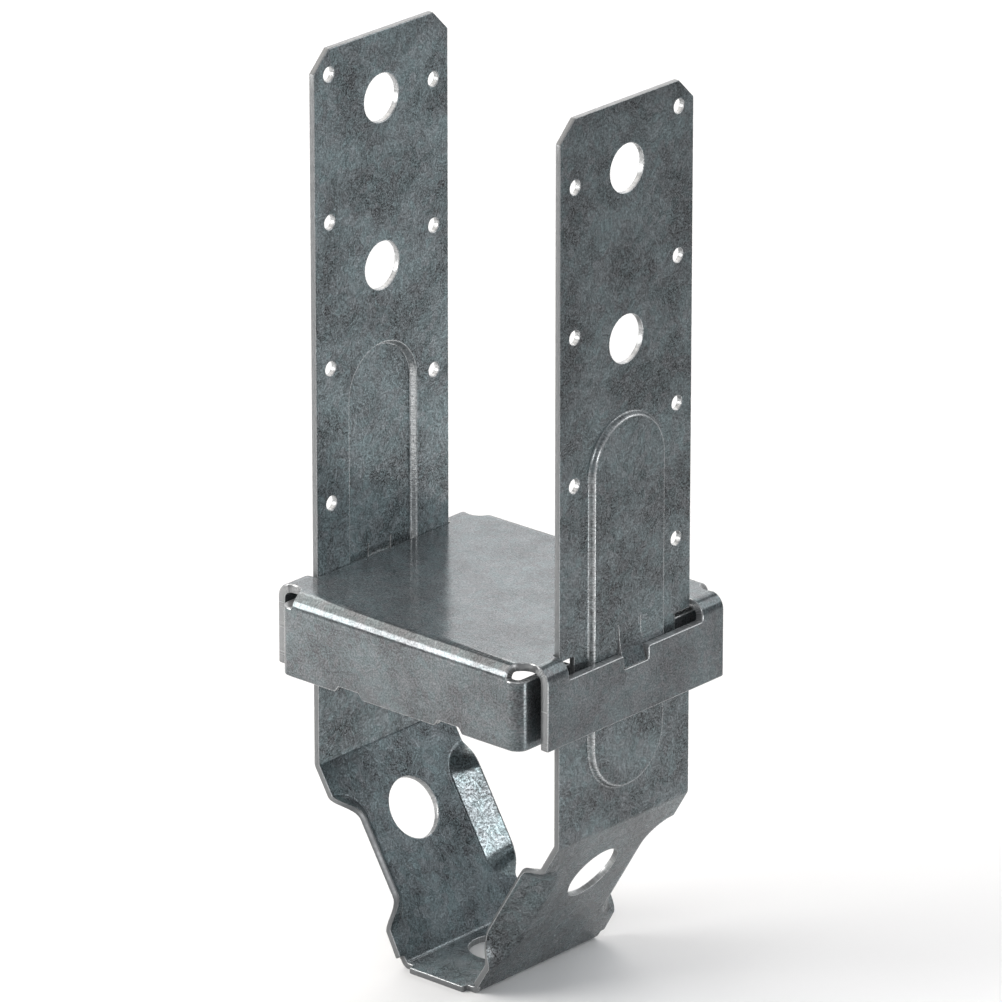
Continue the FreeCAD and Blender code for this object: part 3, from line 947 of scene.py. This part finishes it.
last_ring = hollow_inset + panel_wall
wall_rings = [-margin for margin in ring_margins] + spread(0.0, last_ring, wall_step)
wall_rings += [last_ring + margin for margin in ring_margins]
strap_lattice = []
for side in (-1, 1):
    for row in foot_rows + leg_rows:
        strap_lattice.extend((side * row, v) for v in spread(-strap_half, strap_half,
                                                             bend_row_step))
    for row in fold_rows:
        for v in spread(side_edge_from, strap_half, side_edge_step):
            strap_lattice.extend([(side * row, v), (side * row, -v)])
    for inset in wall_rings:
        strap_lattice.extend((side * u, v) for u, v in stadium(inset))
    for height in spread(tab_tip, tab_root, bend_row_step):
        strap_lattice.extend((side * on_leg(height), v) for v in spread(-tab_half, tab_half,
                                                                        bend_row_step))

strap_blank = punched_blank("strap_blank", strap_loops, strap_lattice, strap_sheet,
                            strap_half_sheet, strap_roll, strap_burr, rim_rub_and_highlight=0.65)
strap_spots = places_of(strap_blank)
along = np.abs(strap_spots[:, 0])
aside = strap_spots[:, 1]
on_inside = strap_spots[:, 2] > strap_half_sheet
inset = panel_inset(along, aside) - np.where(on_inside, hollow_inset, 0.0)
pressed = pressed_out(inset)
half_slit = tab_slit / 2.0
on_tab = ((np.abs(aside) < tab_half + half_slit)
          & (along < on_leg(tab_root)) & (along > on_leg(tab_tip) - half_slit))
down_tab = (on_leg(tab_root) - along) / (tab_root - tab_tip)
pressed += np.where(on_tab, tab_lean * down_tab ** 2, 0.0)
strap_spots[:, 2] -= pressed
strap_blank.vertices.foreach_set("co", strap_spots.astype(np.float32).ravel())


def near_ridge(inset, ridge):
    """How close a point of the panel's wall is to a crease's ridge, 1 on it and 0 well off it."""
    rub_and_highlight_band = 0.75 * panel_crease
    return np.clip(1.0 - np.abs(inset - ridge) / rub_and_highlight_band, 0, 1)


# Pale marks along the panel's creases and over the whole wall of the recess: partly zinc burnished
# by the press, partly painted highlight
ridge_inset = 0.45 * panel_crease
foot_share = 0.45
foot_rub_and_highlight = near_ridge(inset, ridge_inset)
crest_rub_and_highlight = near_ridge(inset, panel_wall - ridge_inset)
on_wall = (inset > 0.0) & (inset < panel_wall)
pressed_rub_and_highlight = np.where(on_inside, np.maximum(foot_rub_and_highlight, on_wall), crest_rub_and_highlight + foot_share * foot_rub_and_highlight)
rub_and_highlight_marks = strap_blank.attributes["rubbed_and_highlight"].data
rubbed_and_highlight = np.empty(len(strap_spots), dtype=np.float32)
rub_and_highlight_marks.foreach_get("value", rubbed_and_highlight)
rub_and_highlight_marks.foreach_set("value", np.maximum(rubbed_and_highlight, pressed_rub_and_highlight).astype(np.float32))

positions = on_slope(0.0) - along
turns = np.array([folding(position) for position in positions])
widths = np.array([half_width(position) for position in positions])
side_angle = fold_angle * np.sin(quarter_turn * (1.0 - np.cos(turns)))
side_line = widths - fold_inset * np.sin(turns) - strap_radius * side_angle / 2.0
marked(strap_blank, "side_angle", side_angle)
marked(strap_blank, "side_line", side_line)

# The outer face's zinc is darker than the inner face's: painted shade
strap_finish = zinc_coat("strap_zinc_coat", inner_tone=(0.190, 0.223, 0.233),
                         outer_tone=(0.126, 0.145, 0.151), edge_tone=(0.18, 0.186, 0.19),
                         rubbed_and_highlight_tone=(0.84, 0.855, 0.86), roughness=0.26, crystal=2.6 * mm,
                         contrast=1.5, relief=0.014 * mm)
upwards = (0.0, 0.0, 1.0)
strap_folds = [
    fold_inputs(1.0, to_back, upwards, "side_line", strap_half_sheet, strap_radius, "side_angle"),
    fold_inputs(1.0, to_right, upwards, leg_line, strap_half_sheet, strap_radius, slope_lean),
    fold_inputs(1.0, to_right, upwards, foot_line, strap_half_sheet, strap_radius, foot_turn),
]
strap = folded("bent_strap", strap_blank, strap_folds, strap_finish)
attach(strap, "root")
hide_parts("strap")

# Floor. A plain sheet of matt board, far wider than the view, on which the strap's flat bottom
# stands. It looks white, and throws little light back at the undersides of the part.
white = (0.93, 0.93, 0.93, 1.0)
dark_to_bounced_light = (0.16, 0.16, 0.16, 1.0)
bpy.ops.mesh.primitive_plane_add(size=12.0)
floor = bpy.context.object
floor.name = "floor"
board = Finish("white_board")
path = board.node("ShaderNodeLightPath").outputs
shown = board.maths("MAXIMUM", path["Is Camera Ray"], path["Is Glossy Ray"])
shown = board.maths("MAXIMUM", shown, path["Is Transmission Ray"])
board.feed(board.shader.inputs["Base Color"], board.mix(shown, dark_to_bounced_light, white))
board.shader.inputs["Roughness"].default_value = 0.9
board.shader.inputs["Specular IOR Level"].default_value = 0.0
floor.data.materials.append(board.material)

# Studio light. A pale grey room with seven soft boxes: a warm one at the left front and another
# high on the left, one beside the camera, one low on the right, two behind and one overhead.
# The metal mirrors them, so their places set where the faces and folds are bright.
room = bpy.data.worlds.new("grey_room")
room.use_nodes = True
room.node_tree.nodes["Background"].inputs["Color"].default_value = (0.22, 0.23, 0.245, 1.0)
room.node_tree.nodes["Background"].inputs["Strength"].default_value = 1.0
bpy.context.scene.world = room
lit_point = Vector((0.0, 0.0, 0.13))


def soft_box(name, place, width, height, brightness, tint=(1.0, 1.0, 1.0)):
    """A rectangular light turned towards the part, with the brightness that its face shows."""
    lamp = bpy.data.lights.new(name, "AREA")
    lamp.shape = "RECTANGLE"
    lamp.size = width
    lamp.size_y = height
    lamp.energy = math.pi * width * height * brightness
    lamp.color = tint
    box = bpy.data.objects.new(name, lamp)
    bpy.context.scene.collection.objects.link(box)
    box.location = place
    box.rotation_euler = (lit_point - Vector(place)).to_track_quat("-Z", "Y").to_euler()


soft_box("left_front_box", place=(-0.36, -0.45, 0.285), width=0.40, height=0.27,
         brightness=9.5, tint=(1.0, 0.985, 0.965))
soft_box("low_right_box", place=(0.27, 0.00, 0.05), width=0.08, height=0.08, brightness=6.5)
soft_box("camera_side_box", place=(1.85, -2.10, 1.21), width=0.80, height=0.80, brightness=8.0)
soft_box("back_panel", place=(-0.66, 0.86, 0.62), width=1.30, height=0.90, brightness=1.5)
soft_box("back_right_panel", place=(0.24, 0.27, 0.37), width=0.34, height=0.30, brightness=1.8)
soft_box("left_panel", place=(-0.75, 0.03, 1.05), width=2.20, height=0.55, brightness=2.6,
         tint=(1.0, 0.94, 0.88))
soft_box("top_box", place=(-0.20, -0.10, 1.50), width=1.00, height=1.00, brightness=0.5)

# Camera. A long lens at the photo's own angle. The angle, the distance and the lens were found
# from the straight edges of the part.
view_azimuth = math.radians(41.359)
view_elevation = math.radians(21.198)
view_distance = 2.684
view_target = Vector((0.0005, -0.0004, 0.1419))
camera_data = bpy.data.cameras.new("camera")
camera_data.sensor_width = 36.0
camera_data.lens = 336.4
camera = bpy.data.objects.new("camera", camera_data)
bpy.context.scene.collection.objects.link(camera)
to_camera = Vector((math.sin(view_azimuth) * math.cos(view_elevation),
                    -math.cos(view_azimuth) * math.cos(view_elevation),
                    math.sin(view_elevation)))
camera.location = view_target + to_camera * view_distance
camera.rotation_euler = (-to_camera).to_track_quat("-Z", "Y").to_euler()
bpy.context.scene.camera = camera
bpy.context.scene.view_settings.view_transform = "Standard"
